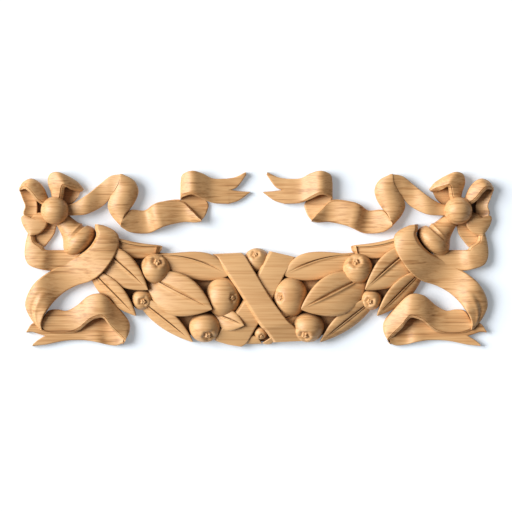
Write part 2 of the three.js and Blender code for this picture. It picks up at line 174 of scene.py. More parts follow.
# The leaves
# Seven long laurel leaves on each half lie over one another and over the ends of the bands. Each
# has a thin raised midrib below a cut groove, and two rounded lobes that fall away to the edge.
# A lobe is given as how wide it is at its widest and where along the leaf that is; a leaf leans by
# how far its upper edge is raised and its lower edge sunk.
LEAVES = [
    {"base": (150.5, 23), "tip": (94.5, 13), "sag": 3.5, "above": (3.6, 0.42), "below": (13, 0.5),
     "high": (14, 13, 10), "full": 0.35, "lean": 0},
    {"base": (163.5, 17), "tip": (108.5, -29.8), "sag": -1.5, "above": (13.3, 0.48), "below": (20.3, 0.49),
     "high": (10, 17.5, 17.5), "full": 0.85, "lean": 2.5},
    {"base": (168.5, -8), "tip": (120.7, -56), "sag": 0.5, "above": (11.2, 0.48), "below": (9.8, 0.46),
     "high": (10, 14, 12), "full": 0.85, "lean": 5},
    {"base": (111.5, -15), "tip": (44.3, -49.3), "sag": 1, "above": (19, 0.48), "below": (23.5, 0.46),
     "high": (9, 20.5, 21.5), "full": 0.85, "lean": 1.5},
    {"base": (123.5, -35), "tip": (63.7, -82.3), "sag": 0, "above": (10.8, 0.5), "below": (8.6, 0.48),
     "high": (10, 12.5, 10.5), "full": 0.85, "lean": 4},
    {"base": (102.5, 6), "tip": (28, -15), "sag": -5.2, "above": (11.5, 0.74), "below": (19.8, 0.48),
     "high": (12, 14.5, 14.5), "full": 0.7, "lean": 0},
    {"base": (43, -53), "tip": (12.5, -65.3), "sag": 0, "above": (9.5, 0.48), "below": (12, 0.5),
     "high": (9, 16.5, 18.7), "full": 0.85, "lean": 1},
]
# Across a leaf, from the edge above the rib to the edge below it: the place, how far the lobe
# has fallen there, and how deep the groove is cut.
LEAF_ACROSS = [
    (1, 3.4, 0), (0.985, 2.3, 0), (0.95, 1.5, 0), (0.88, 0.9, 0), (0.76, 0.4, 0), (0.6, 0.05, 0),
    (0.42, -0.15, 0), (0.27, -0.2, 0), (0.18, -0.1, 0.1), (0.14, 0, 0.7), (0.11, 0, 1.9), (0.065, 0.1, 2.1),
    (0.045, 0.1, 1), (0.025, 0.1, 0.15), (0, 0.1, 0), (-0.03, 0.15, 0), (-0.06, 0.2, 0.4),
    (-0.1, 0.25, 0.95), (-0.16, 0.35, 0.9), (-0.26, 0.35, 0.35), (-0.4, 0.4, 0.1), (-0.55, 0.5, 0),
    (-0.7, 0.8, 0), (-0.84, 1.3, 0), (-0.93, 1.9, 0), (-0.98, 2.8, 0), (-1, 3.8, 0),
]
LEAF_ENDS = (0.012, 0.995)  # a leaf starts and stops just short of its points
LEAF_ROWS = 40
GROOVE_STARTS = 0.1  # the groove deepens over this share of the leaf from its base
GROOVE_ENDS = 0.92  # and it has run out here, after growing shallow over the stretch before
GROOVE_RUNS_OUT = 0.25


def leaf(name, side, base, tip, sag, above, below, high, full, lean):
    """A pointed leaf from its base to its tip."""
    base = np.array(base, float)
    along = np.array(tip, float) - base
    across = np.array([along[1], -along[0]]) / np.linalg.norm(along)
    places = np.array(LEAF_ACROSS)

    def face(row, column):
        s = LEAF_ENDS[0] + (LEAF_ENDS[1] - LEAF_ENDS[0]) * row
        t, fall, groove = places[np.rint(column * (len(places) - 1)).astype(int)].T
        widest = np.where(t > 0, above[0], below[0])
        peak = np.where(t > 0, above[1], below[1])
        spread = np.sin(np.pi * s ** (math.log(0.5) / np.log(peak))) ** full
        wide = t * spread * widest
        out = base[0] + along[0] * s + across[0] * wide
        up = base[1] + along[1] * s + across[1] * wide - sag * np.sin(np.pi * s)
        bend = 2 * high[1] - (high[0] + high[2]) / 2
        ridge = high[0] * (1 - s) ** 2 + 2 * bend * s * (1 - s) + high[2] * s**2
        depth = np.clip((GROOVE_ENDS - s) / GROOVE_RUNS_OUT, 0, 1) * np.clip(s / GROOVE_STARTS, 0, 1)
        high_at = ridge + lean * t * spread - fall * np.sqrt(spread) - groove * depth
        return drawn(side, out, up, high_at)

    return slab(name, LEAF_ROWS, len(places) - 1, face)


for side in (-1, 1):
    for shape in LEAVES:
        leaf("leaf", side, **shape)

# The curled leaf ends
# The upper leaf at the bow ends in a short curl, which turns down towards the ground, and two
# small folded leaves peep out under the crossed bands.
LEAF_CURL = [
    [99.5, 14, 13, 101.5, 5, 11.5],
    [97, 13.6, 11.5, 99, 5.5, 9.5],
    [94.8, 12, 7, 97.5, 7, 6],
]
UNDER_LEAF = [
    [11, -81, 7, 11, -84.5, 5],
    [4.5, -75.5, 9, 4.5, -84.4, 6],
    [-1.5, -77.5, 9, -1.5, -84.3, 6],
    [-5, -83, 7, -5, -84.3, 5],
]
FOLDED_LEAF = [
    [5.5, -83.5, 7, 10, -84.6, 6],
    [10, -80.3, 10, 14.5, -84.2, 7],
    [15.5, -77, 12, 18.5, -80.5, 9],
]
for side in (-1, 1):
    ribbon("leaf_curl", side, LEAF_CURL, crown=0)
ribbon("under_leaf", -1, UNDER_LEAF, crown=1)
ribbon("folded_leaf", 1, FOLDED_LEAF, crown=0)

# The fruits
# Round apples and berries are tucked between the leaves, one more above and one below the bands.
# Each has a sunk dimple where the flower sat, with the dried calyx left standing in it.
FRUITS = [
    {"at": (101.3, -8.8), "wide": 15.3, "tall": 15.3, "foot": 9.3, "rise": 14.5,
     "calyx": (-2.6, 8), "bowl": 5.6},
    {"at": (114.7, -39.6), "wide": 11, "tall": 10.6, "foot": 6.5, "rise": 11,
     "calyx": (-1.8, -2.4), "bowl": 4.6},
    {"at": (33.5, -37), "wide": 18, "tall": 20.5, "foot": 8, "rise": 15.8,
     "calyx": (-10.6, -0.6), "bowl": 3.8},
    {"at": (51.7, -67.2), "wide": 16.2, "tall": 15.3, "foot": 6.5, "rise": 15.5,
     "calyx": (-3.8, -9.4), "bowl": 5.4},
]
TOP_FRUIT = {
    "at": (0.2, -1.3), "wide": 13.3, "tall": 13.3, "foot": 2, "rise": 12.5,
    "calyx": (-1.6, 7.6), "bowl": 4,
}
LOW_FRUIT = {
    "at": (4.3, -72.6), "wide": 7, "tall": 7, "foot": 6, "rise": 7.5,
    "calyx": (0.9, -4.4), "bowl": 2.8,
}
FRUIT_SIDES = 44
FRUIT_RINGS = 44
RINGS_CROWD = 1.6  # how much closer together the rings of the mesh lie at the calyx
FOOT_SHARE = 0.985  # a foot is this much of its fruit's width, so that its side stays hidden

# The dimple and its calyx. Each fruit gives the dimple's radius as its bowl, and sizes from here on
# are shares of that, with heights as shares of the whole depth. A wave is how far a wall moves out
# at each lobe, and steep is how sharply it drops.
CALYX_DEEP = 0.58
CALYX_LOBES = 5
WALL_AT = 0.95
WALL_WAVE = 0.05
WALL_STEEP = 6.5
BRIM_AT = 1.4
BRIM_WIDE = 0.35
BRIM_HIGH = 0.1
CREASE_AT = 1.2
CREASE_WIDE = 0.5
CREASE_DEEP = 0.1
CREASE_OVER = 0.6  # a crease runs in only where the lobes' wave is above this
NUB_AT = 0.55
NUB_WAVE = 0.12
NUB_STEEP = 14
NUB_HIGH = 0.95
PIT_WIDE = 0.16
PIT_DEEP = 0.35


def foot(name, side, at, wide, tall, top):
    """The upright foot under a round form, down past the back."""
    deselect()
    middle = drawn(side, at[0], at[1], (top - BEHIND) / 2)
    bpy.ops.mesh.primitive_cylinder_add(
        vertices=FRUIT_SIDES, radius=1, depth=1, location=middle, rotation=(math.pi / 2, 0, 0)
    )
    bpy.context.object.scale = (wide * FOOT_SHARE * MM, tall * FOOT_SHARE * MM, (top + BEHIND) * MM)
    bpy.ops.object.transform_apply(location=True, rotation=True, scale=True)
    return keep(name)


def hump(far, at, wide):
    """A smooth rise to 1 about a place."""
    return np.exp(-(((far - at) / wide) ** 2))


def drop_off(far, at, steep, high=1):
    """A smooth step from its height down to 0 at a place."""
    return high / (1 + np.exp((far - at) * steep))


def fruit(side, shape):
    """A round fruit, turned so that its calyx looks the way it does in the carving."""
    at, wide, tall, rise, calyx = (shape[key] for key in ("at", "wide", "tall", "rise", "calyx"))
    deselect()
    bpy.ops.mesh.primitive_uv_sphere_add(segments=FRUIT_SIDES, ring_count=FRUIT_RINGS, radius=1)
    form = keep("fruit")
    points = np.empty(len(form.data.vertices) * 3)
    form.data.vertices.foreach_get("co", points)
    points = points.reshape(-1, 3)
    turn = np.arctan2(points[:, 1], points[:, 0])
    polar = np.pi * (np.arccos(np.clip(points[:, 2], -1, 1)) / np.pi) ** RINGS_CROWD
    size = (wide + tall + rise) / 3
    reach = shape["bowl"]
    far = polar * size / reach
    lobe = np.cos(CALYX_LOBES * turn)
    bowl = drop_off(far - WALL_AT, WALL_WAVE * lobe, WALL_STEEP)
    brim = BRIM_HIGH * hump(far, BRIM_AT, BRIM_WIDE)
    crease = CREASE_DEEP * (lobe > CREASE_OVER) * hump(far, CREASE_AT, CREASE_WIDE)
    nub = drop_off(far - NUB_AT, NUB_WAVE * lobe, NUB_STEEP, NUB_HIGH)
    nub = nub - PIT_DEEP * hump(far, 0, PIT_WIDE)
    radius = 1 + (brim - bowl + nub - crease) * CALYX_DEEP * reach / size
    around = np.stack([np.sin(polar) * np.cos(turn), np.sin(polar) * np.sin(turn), np.cos(polar)])
    skin = around * radius
    aim = np.array([calyx[0] / wide, calyx[1] / tall, 0])
    aim[2] = math.sqrt(1 - aim[0] ** 2 - aim[1] ** 2)
    beside = np.cross([0.0, 0.0, 1.0], aim)
    beside = beside / np.linalg.norm(beside)
    third = np.cross(aim, beside)
    x, y, z = np.outer(beside, skin[0]) + np.outer(third, skin[1]) + np.outer(aim, skin[2])
    place = drawn(side, at[0] + x * wide, at[1] + y * tall, shape["foot"] + z * rise)
    form.data.vertices.foreach_set("co", place.ravel())
    form.data.update()
    bpy.ops.object.mode_set(mode="EDIT")
    bpy.ops.mesh.select_all(action="SELECT")
    bpy.ops.mesh.normals_make_consistent(inside=False)
    bpy.ops.object.mode_set(mode="OBJECT")
    foot("fruit_foot", side, at, wide, tall, shape["foot"])


for side in (-1, 1):
    for shape in FRUITS:
        fruit(side, shape)
fruit(1, TOP_FRUIT)
fruit(1, LOW_FRUIT)

# The husks
# At each end of the swag a bell-shaped husk hangs below the ball knot. A lip and a hollow run
# round it where the neck becomes the bulb, which is held by the ribbon that wraps the swag.
HUSK_FROM = np.array([199.6, 46.1])
HUSK_TO = np.array([170.3, 10.7])
HUSK = [  # how far from the neck, and the radius there
    (0, 7.5), (4, 7.7), (8, 8.1), (12, 8.7), (16, 9.6), (19.5, 10.6), (22, 11.6), (25, 13.5), (28.5, 16.2),
    (31.5, 17.9), (34, 18.7), (37, 18.6), (40, 17), (42.5, 14.3), (44.5, 10.6), (45.9, 5.5), (46.4, 0.8),
]
HUSK_FLAT = 0.9
HUSK_HIGH = 3
HUSK_LEAST = 0.3  # the least radius, at the round end
HUSK_ROWS = 140
HUSK_COLUMNS = 44
LIP_AT = (26, 23)  # how far along the husk its lip stands, on the lower side and on the upper one
LIP_HIGH = 0.5
LIP_WIDE = 0.9
HOLLOW_WIDE = (2.4, 4)  # the hollow between the lip and the bulb, on the lower and the upper side
HOLLOW_DEEP = 2.6
HOLLOW_STEP = 0.8
LIP_FROM = 0.12  # round from the lower side, the lip and the hollow start here
LIP_GROWS = 0.5  # and have their full size this much further round


def husk(name, side):
    """A bell lying on its side, from its neck at the ball to its round end."""
    along = (HUSK_TO - HUSK_FROM) / np.linalg.norm(HUSK_TO - HUSK_FROM)

    def face(s, t):
        far, radius = spline(HUSK, s).T
        radius = np.maximum(radius, HUSK_LEAST)
        turn = np.pi * t
        upper = (1 - np.cos(turn)) / 2
        past = far - LIP_AT[0] - (LIP_AT[1] - LIP_AT[0]) * upper
        hollow = HOLLOW_WIDE[0] + (HOLLOW_WIDE[1] - HOLLOW_WIDE[0]) * upper
        sunk = np.clip(past / hollow, 0, 1) * np.clip(1 - (past - hollow) / HOLLOW_STEP, 0, 1)
        lip = LIP_HIGH * np.exp(-(((past + LIP_WIDE / 2) / LIP_WIDE) ** 2))
        radius = radius + (lip - HOLLOW_DEEP * sunk) * np.clip((upper - LIP_FROM) / LIP_GROWS, 0, 1)
        wide = radius * np.cos(turn)
        out = HUSK_FROM[0] + along[0] * far - along[1] * wide
        up = HUSK_FROM[1] + along[1] * far + along[0] * wide
        return drawn(side, out, up, HUSK_HIGH + radius * HUSK_FLAT * np.sin(turn))

    return slab(name, HUSK_ROWS, HUSK_COLUMNS, face)


for side in (-1, 1):
    husk("husk", side)

# The bows
# Each bow is a ribbon tied in four loops round a ball knot. The loops are carved as a bent sheet,
# so their cut edges show as light rims over the dark hollows inside them.
BALL_AT = (202, 49.5)
BALL_RADIUS = 14
BALL_FOOT = 10
BALL_SIDES = 56
BALL_RINGS = 36
RIM = (3.2, [(0, 0.85), (0.05, 0.58), (0.4, 0.34), (0.74, 0.1), (0.86, 0.3), (1.12, 0)])
BROAD_RIM = (3.6, RIM[1])
LOOP_OUTER = [
    [204, 57, 7, 210, 51, 9],
    [208.5, 62, 9, 214.5, 55, 12],
    [212.5, 71, 11.5, 220.7, 59.7, 15.5],
    [218.5, 78.5, 12.5, 226.8, 67.3, 18],
    [225.5, 81.7, 12.5, 231, 70.8, 17.5],
    [233.5, 78.5, 10.5, 235, 70.3, 13],
    [238, 72, 8, 237.3, 68.5, 9],
]
LOOP_OUTER_INSIDE = [
    [238, 73, 8, 224, 71, 6],
    [237, 68, 8.7, 222, 64, 6.5],
    [234.5, 61, 9.2, 220, 58.5, 6.8],
    [232, 54, 9.2, 219.4, 52, 7],
    [233.8, 46.5, 8.8, 219.4, 46, 7],
    [229, 38, 7.5, 214, 40, 6],
]
LOOP_GAP = [  # the low floor beside the ball, dark in real shade and in painted shade
    [220.5, 61, 0.8, 213, 61, 0.8],
    [220.5, 43, 0.8, 213, 43, 0.8],
]
LOOP_INNER = [
    [204.5, 56, 9, 195.6, 56, 11],
    [206, 67, 9.5, 193.2, 64.6, 13.5],
    [209, 77, 10, 192.4, 70.2, 15.8],
    [207.3, 85.7, 11, 191.4, 72.9, 17],
    [199, 88.3, 14, 189.4, 72.6, 16.5],
    [188.5, 84, 11.5, 185.9, 70.6, 13.5],
    [179, 78, 7.5, 181, 69, 9.5],
    [173.3, 71, 4.5, 175, 68.5, 6],
]
LOOP_INNER_INSIDE = [
    [198, 75, 2, 198, 50, 2],
    [190.5, 76, 2, 190.5, 53, 2],
    [182.5, 73, 2, 184, 57.5, 2],
    [176, 70, 2.5, 179.5, 62.5, 3],
]
LOOP_LOWER = [
    [212, 48, 7, 203, 42, 8],
    [221, 47, 7, 206, 39.7, 8.5],
    [227, 42, 8.3, 209, 37.5, 9],
    [232, 45, 7.5, 210.5, 34, 9.5],
    [236, 43, 7, 212, 31.5, 9.5],
    [235.2, 37, 6.5, 214.5, 28.8, 9.3],
    [231.6, 30, 6.5, 219, 25.5, 8.5],
    [227.5, 24.7, 7, 226.5, 23.8, 7.5],
]
LOOP_UNDER = [
    [208.5, 45, 3.5, 198, 40, 4],
    [216, 34.5, 3.5, 201, 33, 4],
    [221.5, 26.5, 4, 203.5, 25, 4.5],
    [226, 21.5, 5, 212.5, 13, 5],
]
for side in (-1, 1):
    deselect()
    bpy.ops.mesh.primitive_uv_sphere_add(
        segments=BALL_SIDES,
        ring_count=BALL_RINGS,
        radius=BALL_RADIUS * MM,
        location=drawn(side, *BALL_AT, BALL_FOOT),
    )
    bpy.ops.object.transform_apply(location=True, rotation=True, scale=True)
    keep("ball")
    foot("ball_foot", side, BALL_AT, BALL_RADIUS, BALL_RADIUS, BALL_FOOT)
    ribbon("loop", side, LOOP_OUTER, far=RIM)
    ribbon("loop_inside", side, LOOP_OUTER_INSIDE, crown=-1.5)
    ribbon("loop_inside", side, LOOP_GAP, crown=0)
    ribbon("loop", side, LOOP_INNER, far=BROAD_RIM)
    ribbon("loop_inside", side, LOOP_INNER_INSIDE, crown=0)
    ribbon("loop", side, LOOP_LOWER, crown=2)
    ribbon("loop", side, LOOP_UNDER, crown=-0.5)

# The upper ribbons
# From each knot a ribbon rises, folds over, runs in a wave towards the middle, turns back on
# itself and ends in a fishtail. Its folds are sharp and its edges are lightly rounded.
CRISP = (0.4, [(0, 0.8), (0.4, 0.2), (1, 0)])
TAIL_RISE = [
    [196.5, 54, 8, 196.5, 44, 9],
    [183.5, 57, 8.5, 183.5, 44.7, 9],
    [170.5, 65, 11, 170.5, 46, 11],
    [157.5, 75.6, 7.8, 156, 53, 7.5],
    [146.5, 84, 10.4, 147, 61.8, 8.6],
    [135.5, 86, 13.2, 138.5, 76, 12.6],
]
TAIL_RISE_CROWN = [1.5, 1.5, 1.5, 1.2, 0.5, 0]
TAIL_FALL = [
    [136.5, 86.3, 13.5, 134, 86, 13.5],
    [137.5, 78, 13, 123, 80, 10.5],
    [141.2, 71, 10.8, 118.5, 70.5, 8.5],
    [146.8, 62.5, 9, 120.5, 61, 8.5],
    [149.1, 53.5, 8, 126, 52, 10.3],
    [145, 44, 8, 131.5, 45, 12.8],
    [135.5, 33.3, 9.5, 134.5, 36, 12.5],
]
TAIL_FALL_CROWN = [0, 1.5, 4.5, 5.5, 4.5, 2, 0.5]
TAIL_WAVE = [
    [135.5, 39, 13, 136, 33.2, 12.5],
    [127, 50, 8.8, 126, 27.7, 8.8],
    [112.5, 49.8, 4.6, 109, 26.7, 4.8],
    [104, 55.4, 10.4, 97, 31.5, 10.8],
    [95, 58.6, 10.6, 89, 34.7, 10],
    [76.5, 60.5, 6.5, 73, 38, 6.5],
    [66, 52.3, 9, 62, 37.5, 9],
    [56, 41.5, 12.5, 55, 38.5, 12],
]
TAIL_WAVE_WEAR = [1.3, 1.3, 1.3, 1.3, 1.3, 2.2, 2.6, 2.6]
TAIL_TURN = [
    [75.7, 66.5, 5, 57, 69, 3.5],
    [75, 58.6, 6, 48.5, 57, 3],
    [66, 49.5, 7.5, 49, 50.5, 3.5],
    [60.5, 43, 9.5, 51.5, 44.3, 6],
    [57, 40.2, 12, 55.6, 39.2, 11.5],
]
TAIL_END = [
    [76.3, 77, 8, 76.3, 60.5, 8.5],
    [74.3, 85.5, 10.5, 73.5, 63.2, 11.5],
    [64.5, 89.4, 15, 64.5, 65.4, 16],
    [54, 86.8, 11.5, 54, 61, 12.5],
    [43.5, 81.8, 7.5, 43, 57.1, 8.2],
    [28, 81.6, 6, 27.5, 56.3, 6.3],
]
TAIL_END_WEAR = [2.4, 2.6, 2.6, 2.4, 1, 0.5]
TAIL_TIP_UPPER = [
    [30.5, 81.5, 6.1, 29.5, 69, 6.2],
    [21, 83.3, 6, 19.5, 73, 5.6],
    [11, 88.2, 7, 10, 85.5, 6],
]
TAIL_TIP_LOWER = [
    [29.5, 71, 6.22, 29.5, 56.1, 6.4],
    [18, 69.2, 5.2, 18, 59.5, 5],
    [6.7, 68.4, 4.2, 6.9, 67.4, 4],
]
for side in (-1, 1):
    ribbon("tail", side, TAIL_RISE, crown=TAIL_RISE_CROWN, far=CRISP)
    ribbon("tail", side, TAIL_FALL, crown=TAIL_FALL_CROWN, near=CRISP)
    ribbon("tail", side, TAIL_WAVE, near=(TAIL_WAVE_WEAR, RIM[1]))
    ribbon("tail", side, TAIL_TURN, crown=-0.5)
    ribbon("tail", side, TAIL_END, crown=0, far=(TAIL_END_WEAR, RIM[1]))
    ribbon("tail", side, TAIL_TIP_UPPER, crown=0)
    ribbon("tail", side, TAIL_TIP_LOWER, crown=0)

# The wrapping ribbons
# The lower ribbon of each bow passes behind the husk, wraps the end of the swag, curls down at
# the side and flutters back under itself to a second, low fishtail.
SLOPE = (3, [(0, 1), (0.06, 0.85), (0.5, 0.46), (0.86, 0.1), (1, 0.01), (1.15, 0)])
WRAP_BEHIND = [
    [229.2, 27.3, 6, 222.6, 26, 6.6],
    [231.8, 16.5, 7, 221, 18.6, 10],
    [232.4, 4, 7.5, 214.5, 14, 11.5],
    [228, -5, 9, 212.5, 11, 11],
    [216.5, -9.3, 11, 209.5, 10, 9.5],
    [205, -10.8, 6.8, 201, 10, 6],
    [192, -8, 6.3, 190, 10, 6],
    [178.5, -4, 8, 176.5, 10, 8],
]
BEHIND_WEAR = [3.2, 3.2, 3, 2.2, 0.8, 0.6, 0.6, 0.6]
WRAP = [
    [161.5, 36, 14.5, 153.5, 34.9, 13.5],
    [161.5, 31, 17, 144.5, 30.7, 15],
    [160, 26, 18.5, 138.7, 25, 16],
    [162, 20, 19.5, 137.5, 16.5, 17],
    [167.5, 12.5, 18.3, 140, 8, 19],
    [176, 6, 13.6, 146, -2.5, 20.5],
    [185, 1.5, 8.8, 155, -13.5, 19],
    [194, -4, 6.6, 166, -21, 13],
    [204, -9.5, 8, 180, -25.5, 7.8],
    [214, -16, 12.5, 193, -32.5, 8],
    [223, -24, 12.5, 203, -41.5, 10],
    [230, -36, 9.5, 209.5, -50, 14.3],
    [231.7, -47, 7.5, 213.5, -57, 13.8],
    [226, -59.5, 8, 215.6, -64.5, 12.5],
    [217, -70, 9, 214.5, -70, 10],
]
WRAP_CROWN = [1, 2, 2.5, 3, 2.5, 1.5, 0.5, 0, 0, 0, 3.5, 2, 0.5, 0.5, 0]
WRAP_WEAR = [3.2, 3.2, 3.2, 3.2, 3.2, 2.6, 2, 1.3, 1.3, 1.3, 1.3, 1.3, 1.3, 1.3, 1.3]
WRAP_EDGE = (WRAP_WEAR, SLOPE[1])
WRAP_FOLD = [0, 0, 0, 0, 0, 0, 0, 0, 0, 0, 0.2, 0.8, 0.9, 0.4, 0]
WRAP_INNER = 3 * INNER  # facets across, enough to draw the fold
TRAIL = [
    [215, -60, 7.5, 217.5, -70.5, 8],
    [209, -51, 6.3, 208.5, -74.5, 7],
    [200, -49.5, 6, 198.5, -76, 6.5],
    [190.5, -50.8, 6.5, 188.5, -75, 7],
    [180, -45.5, 8.5, 178, -71, 9.5],
    [168.5, -36, 14.2, 168, -62.5, 14.8],
    [158, -33.5, 16.8, 160, -58.5, 17.3],
    [150, -36.5, 15.5, 153, -58.5, 17.3],
    [140, -46.5, 10.3, 146, -67.8, 13.8],
    [130.5, -57.5, 7, 138.5, -75.5, 10.5],
    [127, -65.5, 6, 134, -80.5, 9.3],
    [128.5, -75, 6, 132.5, -83, 9],
    [134, -82.5, 6.5, 134, -84.5, 8.5],
]
TRAIL_RETURN = [
    [132.7, -76, 8.5, 134.1, -83.6, 8.5],
    [140, -70, 6, 140.5, -85.8, 6.5],
    [150, -60, 3.5, 150, -84.9, 5.5],
    [160, -57, 3, 160, -82.4, 8],
    [174, -65, 4.5, 174, -80.4, 5.8],
    [192, -71, 6, 191.5, -81, 5.5],
    [210.5, -70, 6, 211, -84.9, 6],
]
TRAIL_TIP_UPPER = [
    [208, -70, 6, 209.5, -77, 6],
    [218, -63, 6.5, 217.5, -74.5, 6],
    [225.5, -64, 6.5, 225, -72.2, 6],
    [231, -72, 6, 230.5, -72.8, 6],
]
TRAIL_TIP_LOWER = [
    [208.5, -74, 6, 210.5, -84.9, 6],
    [218.5, -79.7, 6, 219.5, -85.8, 6],
    [224, -84, 6, 225, -86.5, 6],
]
for side in (-1, 1):
    ribbon("wrap", side, WRAP_BEHIND, far=(BEHIND_WEAR, RIM[1]))
    ribbon("wrap", side, WRAP, crown=WRAP_CROWN, near=WRAP_EDGE, fold=WRAP_FOLD, inner=WRAP_INNER)
    ribbon("trail", side, TRAIL, far=RIM)
    ribbon("trail", side, TRAIL_RETURN, crown=0)
    ribbon("trail", side, TRAIL_TIP_UPPER, crown=0)
    ribbon("trail", side, TRAIL_TIP_LOWER, crown=0)

# The crossed bands
# Two flat bands cross over the middle of the swag, the one from the upper left on top. Their left
# edges are cut to a broad slope, and their ends are cut off above and below the swag.
BAND_CROWN = 0.6
BAND_OVER = [
    [-44.2, 6, 9, -15.2, 7.4, 9],
    [-40.5, 2, 13, -11, 3.5, 13],
    [-33.5, -8.5, 17, -4.5, -7, 17],
    [-15, -36.5, 20.5, 13.5, -37, 20.5],
    [2, -63.5, 20, 30.5, -60, 20],
    [9.5, -72, 17, 38.5, -67.5, 17],
    [16.5, -82.5, 10, 46.5, -81, 10],
]
BAND_UNDER = [
    [13, 9, 9, 38.5, 3, 9],
    [8.8, 2, 13, 35, -4, 13],
    [1, -13, 15.5, 28, -15, 15.5],
    [-14.5, -42, 17, 13, -44, 17],
    [-26, -57.5, 16, 5, -58.5, 16],
    [-38, -71, 13, -2.5, -71, 13],
    [-42, -80, 9, -9, -82.5, 9],
    [-30, -84.6, 8, -15, -87, 8],
]
ribbon("band", 1, BAND_OVER, crown=BAND_CROWN, near=SLOPE)
ribbon("band", 1, BAND_UNDER, crown=BAND_CROWN, near=SLOPE)

# The joined carving
# All the forms belong to one board, so they are joined into one solid. It still runs on behind,
# and the white panel of the picture, on which it lies, is cut out round it before that comes off.
PANEL_SIDE = 3000
PANEL_AT = 0.3
PANEL_THICK = 0.5
WASTE_WIDE = 600
WASTE_TALL = 400
WASTE_DEEP = 40
SOFTEN_ANGLE = 38  # facets that meet at less than this many degrees are shaded as one

# The panel and the waste come in small fields, so that no large face with a ragged outline is left
# in the panel or on the planed back.
PANEL_CUTS = 60
WASTE_CUTS = 12


def cut(work, tool, operation):
    """Join the tool into the work or cut it out of it."""
    deselect()
    work.select_set(True)
    bpy.context.view_layer.objects.active = work
    change = work.modifiers.new("cut", "BOOLEAN")
    change.operation = operation
    change.solver = "MANIFOLD"
    if isinstance(tool, bpy.types.Collection):
        change.operand_type = "COLLECTION"
        change.collection = tool
    else:
        change.object = tool
    bpy.ops.object.modifier_apply(modifier="cut")


def block(name, wide, near, far, tall, cuts):
    """A block centred on the ornament, from near to far behind its back, in millimetres."""
    deselect()
    bpy.ops.mesh.primitive_cube_add(size=1, location=(0, (near + far) / 2 * MM, 0))
    made = bpy.context.object
    made.name = name
    made.scale = (wide * MM, (far - near) * MM, tall * MM)
    bpy.ops.object.transform_apply(location=True, rotation=True, scale=True)
    bpy.ops.object.mode_set(mode="EDIT")
    bpy.ops.mesh.select_all(action="SELECT")
    bpy.ops.mesh.subdivide(number_cuts=cuts)
    bpy.ops.object.mode_set(mode="OBJECT")
    return made


ornament = forms[0]
rest = bpy.data.collections.new("forms to join")
for form in forms[1:]:
    rest.objects.link(form)
cut(ornament, rest, "UNION")
for form in forms[1:]:
    bpy.data.objects.remove(form)
bpy.data.collections.remove(rest)
panel = block("panel", PANEL_SIDE, PANEL_AT, PANEL_AT + PANEL_THICK, PANEL_SIDE, PANEL_CUTS)
cut(panel, ornament, "DIFFERENCE")
waste = block("waste", WASTE_WIDE, 0, WASTE_DEEP, WASTE_TALL, WASTE_CUTS)
cut(ornament, waste, "DIFFERENCE")
bpy.data.objects.remove(waste)
deselect()
ornament.select_set(True)
bpy.context.view_layer.objects.active = ornament
bpy.ops.object.shade_smooth_by_angle(angle=math.radians(SOFTEN_ANGLE))
ornament.name = "carved_festoon"
ornament.data.name = "carved_festoon"

# The wood
# It is a bare pale hardwood with fine, almost straight grain along the ornament. The grain is a
# stack of thin layers through the board, so its lines bend wherever the carving is round.
PALE = (0.78, 0.46, 0.205, 1)
MIDDLE = (0.62, 0.32, 0.125, 1)
STREAK = (0.36, 0.16, 0.055, 1)
HOLLOW_PAINTED_SHADE = (0.17, 0.07, 0.028, 1)  # painted shade at the bottom of the deep hollows
GRAIN_COLORS = [(0.34, STREAK), (0.44, MIDDLE), (0.53, PALE), (0.64, MIDDLE)]
FINE_LINES = (11, 240, 600)  # how close each layer's lines lie, along, through and up the board
STREAK_LINES = (7, 70, 190)
CLOUD_LINES = (6, 14, 22)
FINE_SHARE = 0.55
STREAK_SHARE = 0.3
CLOUD_SHARE = 0.15
EVEN = 0.5  # the tone where no layer shows
SWAG_AT = (0, 0, -0.042)
SWAG_REACH = (0.148, 1, 0.058)
SWAG_EDGE = (0.85, 1.1)  # from the swag's middle, as shares of its reach
QUIET = 0.6  # the share of the grain that shows on the swag
HOLLOW_REACH = 0.012  # metres, how far round a place looks for other wood, for the painted shade
SHADE_SAMPLES = 8
HOLLOW_OPEN = (0.08, 0.58)  # how open a place is where the painted shade is darkest, and where it ends
SMOOTHEST = 0.4
ROUGH_SPREAD = 0.16
PORES = {"Strength": 0.25, "Distance": 0.0004}


class Value:
    """A value in a material, on which Python's arithmetic adds Math nodes."""

    def __init__(self, socket):
        self.socket = socket

    def node(self, kind, settings, inputs, output=0):
        """Add a node, set it up, and give its sockets numbers or other values."""
        made = self.socket.id_data.nodes.new(kind)
        for name, setting in settings.items():
            if name == "stops":
                made.color_ramp.elements[0].position, made.color_ramp.elements[0].color = setting[0]
                made.color_ramp.elements[1].position, made.color_ramp.elements[1].color = setting[-1]
                for position, color in setting[1:-1]:
                    made.color_ramp.elements.new(position).color = color
            else:
                setattr(made, name, setting)
        for name, given in inputs.items():
            if isinstance(given, Value):
                made.id_data.links.new(given.socket, made.inputs[name])
            else:
                made.inputs[name].default_value = given
        return Value(made.outputs[output])

    def math(self, operation, first, second):
        return self.node("ShaderNodeMath", {"operation": operation}, {0: first, 1: second})

    def __add__(self, other):
        return self.math("ADD", self, other)

    def __radd__(self, other):
        return self.math("ADD", other, self)

    def __sub__(self, other):
        return self.math("SUBTRACT", self, other)

    def __rsub__(self, other):
        return self.math("SUBTRACT", other, self)

    def __mul__(self, other):
        return self.math("MULTIPLY", self, other)

    def __rmul__(self, other):
        return self.math("MULTIPLY", other, self)


def material(name):
    """A new material and its shader node."""
    made = bpy.data.materials.new(name)
    made.use_nodes = True
    return made, made.node_tree.nodes["Principled BSDF"]


